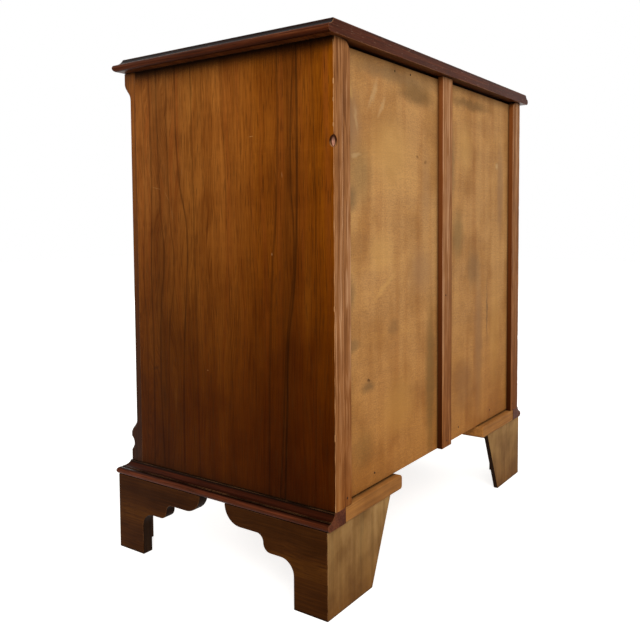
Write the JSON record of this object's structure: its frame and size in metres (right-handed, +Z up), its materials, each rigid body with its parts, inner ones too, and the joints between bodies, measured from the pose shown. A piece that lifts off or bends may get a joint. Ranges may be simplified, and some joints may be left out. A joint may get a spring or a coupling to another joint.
{
  "type": "bachelors chest",
  "caption": "Low bachelor's chest on bracket feet, with graduated drawers, a pull-out brushing slide, canted corners and swinging handles.",
  "frame": {"origin": "on the floor, under the middle of the whole chest with its handles", "axes": "+Z up, -Y out of the drawer fronts, +X to the right of someone who faces the drawer fronts"},
  "size_m": [0.7126, 0.4166, 0.762],
  "materials": {
    "mahogany_top": "polished, worn at the back edge",
    "mahogany_side": "french polished",
    "mahogany_post": "french polished",
    "mahogany_moulding": "french polished",
    "mahogany_bracket": "french polished",
    "mahogany_rail": "waxed",
    "mahogany_slide": "waxed",
    "mahogany_drawer": "french polished",
    "mahogany_bead": "french polished",
    "pine_panel": "bare, stained with age",
    "pine_frame": "bare, toned with age",
    "pine_cleat": "bare",
    "pine_bracket": "bare",
    "pine_inside": "bare",
    "oak_lining": "bare",
    "brass": "polished, aged"
  },
  "bodies": {
    "carcass": {"top_board": "mahogany_top", "corner_post_left": "mahogany_post", "corner_post_right": "mahogany_post", "side_panel_left": "mahogany_side", "side_panel_right": "mahogany_side", "bottom_board": "pine_inside", "top_rails": "mahogany_rail", "drawer_rails": "mahogany_rail", "drawer_runners": "pine_inside", "drawer_stops": "pine_inside", "back_stile_left": "pine_frame", "back_stile_right": "pine_frame", "back_muntin": "pine_frame", "back_panel_left": "pine_panel", "back_panel_right": "pine_panel", "base_moulding_front": "mahogany_moulding", "base_moulding_left": "mahogany_moulding", "base_moulding_right": "mahogany_moulding", "base_cleat_left": "pine_cleat", "base_cleat_right": "pine_cleat", "front_bracket_left": "mahogany_bracket", "front_bracket_right": "mahogany_bracket", "side_bracket_front_left": "mahogany_bracket", "side_bracket_front_right": "mahogany_bracket", "side_bracket_rear_left": "mahogany_bracket", "side_bracket_rear_right": "mahogany_bracket", "rear_bracket_left": "pine_bracket", "rear_bracket_right": "pine_bracket", "foot_blocks": "pine_inside"},
    "brushing_slide": {"brushing_slide_board": "mahogany_slide", "brushing_slide_ends": "mahogany_slide", "brushing_slide_knobs": "brass"},
    "drawer_1": {"drawer_1_front": "mahogany_drawer", "drawer_1_cock_beads": "mahogany_bead", "drawer_1_box": "oak_lining", "drawer_1_bottom": "oak_lining", "drawer_1_handle_posts": "brass"},
    "drawer_1_bail_left": {"drawer_1_bail_left": "brass"},
    "drawer_1_bail_right": {"drawer_1_bail_right": "brass"},
    "drawer_2": {"drawer_2_front": "mahogany_drawer", "drawer_2_cock_beads": "mahogany_bead", "drawer_2_box": "oak_lining", "drawer_2_bottom": "oak_lining", "drawer_2_handle_posts": "brass"},
    "drawer_2_bail_left": {"drawer_2_bail_left": "brass"},
    "drawer_2_bail_right": {"drawer_2_bail_right": "brass"},
    "drawer_3": {"drawer_3_front": "mahogany_drawer", "drawer_3_cock_beads": "mahogany_bead", "drawer_3_box": "oak_lining", "drawer_3_bottom": "oak_lining", "drawer_3_handle_posts": "brass"},
    "drawer_3_bail_left": {"drawer_3_bail_left": "brass"},
    "drawer_3_bail_right": {"drawer_3_bail_right": "brass"},
    "drawer_4": {"drawer_4_front": "mahogany_drawer", "drawer_4_cock_beads": "mahogany_bead", "drawer_4_box": "oak_lining", "drawer_4_bottom": "oak_lining", "drawer_4_handle_posts": "brass"},
    "drawer_4_bail_left": {"drawer_4_bail_left": "brass"},
    "drawer_4_bail_right": {"drawer_4_bail_right": "brass"}
  },
  "joints": [
    {"name": "brushing_slide_out", "type": "slide", "parent": "carcass", "child": "brushing_slide", "axis": [0, -1, 0], "range_m": [0, 0.24]},
    {"name": "drawer_1_out", "type": "slide", "parent": "carcass", "child": "drawer_1", "axis": [0, -1, 0], "range_m": [0, 0.27]},
    {"name": "drawer_1_bail_left_swing", "type": "hinge", "parent": "drawer_1", "child": "drawer_1_bail_left", "pos_m": [-0.174, -0.20275, 0.6516], "axis": [-1, 0, 0], "range_deg": [-32, 212]},
    {"name": "drawer_1_bail_right_swing", "type": "hinge", "parent": "drawer_1", "child": "drawer_1_bail_right", "pos_m": [0.174, -0.20275, 0.6516], "axis": [-1, 0, 0], "range_deg": [-32, 212]},
    {"name": "drawer_2_out", "type": "slide", "parent": "carcass", "child": "drawer_2", "axis": [0, -1, 0], "range_m": [0, 0.27]},
    {"name": "drawer_2_bail_left_swing", "type": "hinge", "parent": "drawer_2", "child": "drawer_2_bail_left", "pos_m": [-0.174, -0.20275, 0.5257], "axis": [-1, 0, 0], "range_deg": [-32, 212]},
    {"name": "drawer_2_bail_right_swing", "type": "hinge", "parent": "drawer_2", "child": "drawer_2_bail_right", "pos_m": [0.174, -0.20275, 0.5257], "axis": [-1, 0, 0], "range_deg": [-32, 212]},
    {"name": "drawer_3_out", "type": "slide", "parent": "carcass", "child": "drawer_3", "axis": [0, -1, 0], "range_m": [0, 0.27]},
    {"name": "drawer_3_bail_left_swing", "type": "hinge", "parent": "drawer_3", "child": "drawer_3_bail_left", "pos_m": [-0.174, -0.20275, 0.3872], "axis": [-1, 0, 0], "range_deg": [-32, 212]},
    {"name": "drawer_3_bail_right_swing", "type": "hinge", "parent": "drawer_3", "child": "drawer_3_bail_right", "pos_m": [0.174, -0.20275, 0.3872], "axis": [-1, 0, 0], "range_deg": [-32, 212]},
    {"name": "drawer_4_out", "type": "slide", "parent": "carcass", "child": "drawer_4", "axis": [0, -1, 0], "range_m": [0, 0.27]},
    {"name": "drawer_4_bail_left_swing", "type": "hinge", "parent": "drawer_4", "child": "drawer_4_bail_left", "pos_m": [-0.174, -0.20275, 0.2357], "axis": [-1, 0, 0], "range_deg": [-32, 212]},
    {"name": "drawer_4_bail_right_swing", "type": "hinge", "parent": "drawer_4", "child": "drawer_4_bail_right", "pos_m": [0.174, -0.20275, 0.2357], "axis": [-1, 0, 0], "range_deg": [-32, 212]}
  ]
}
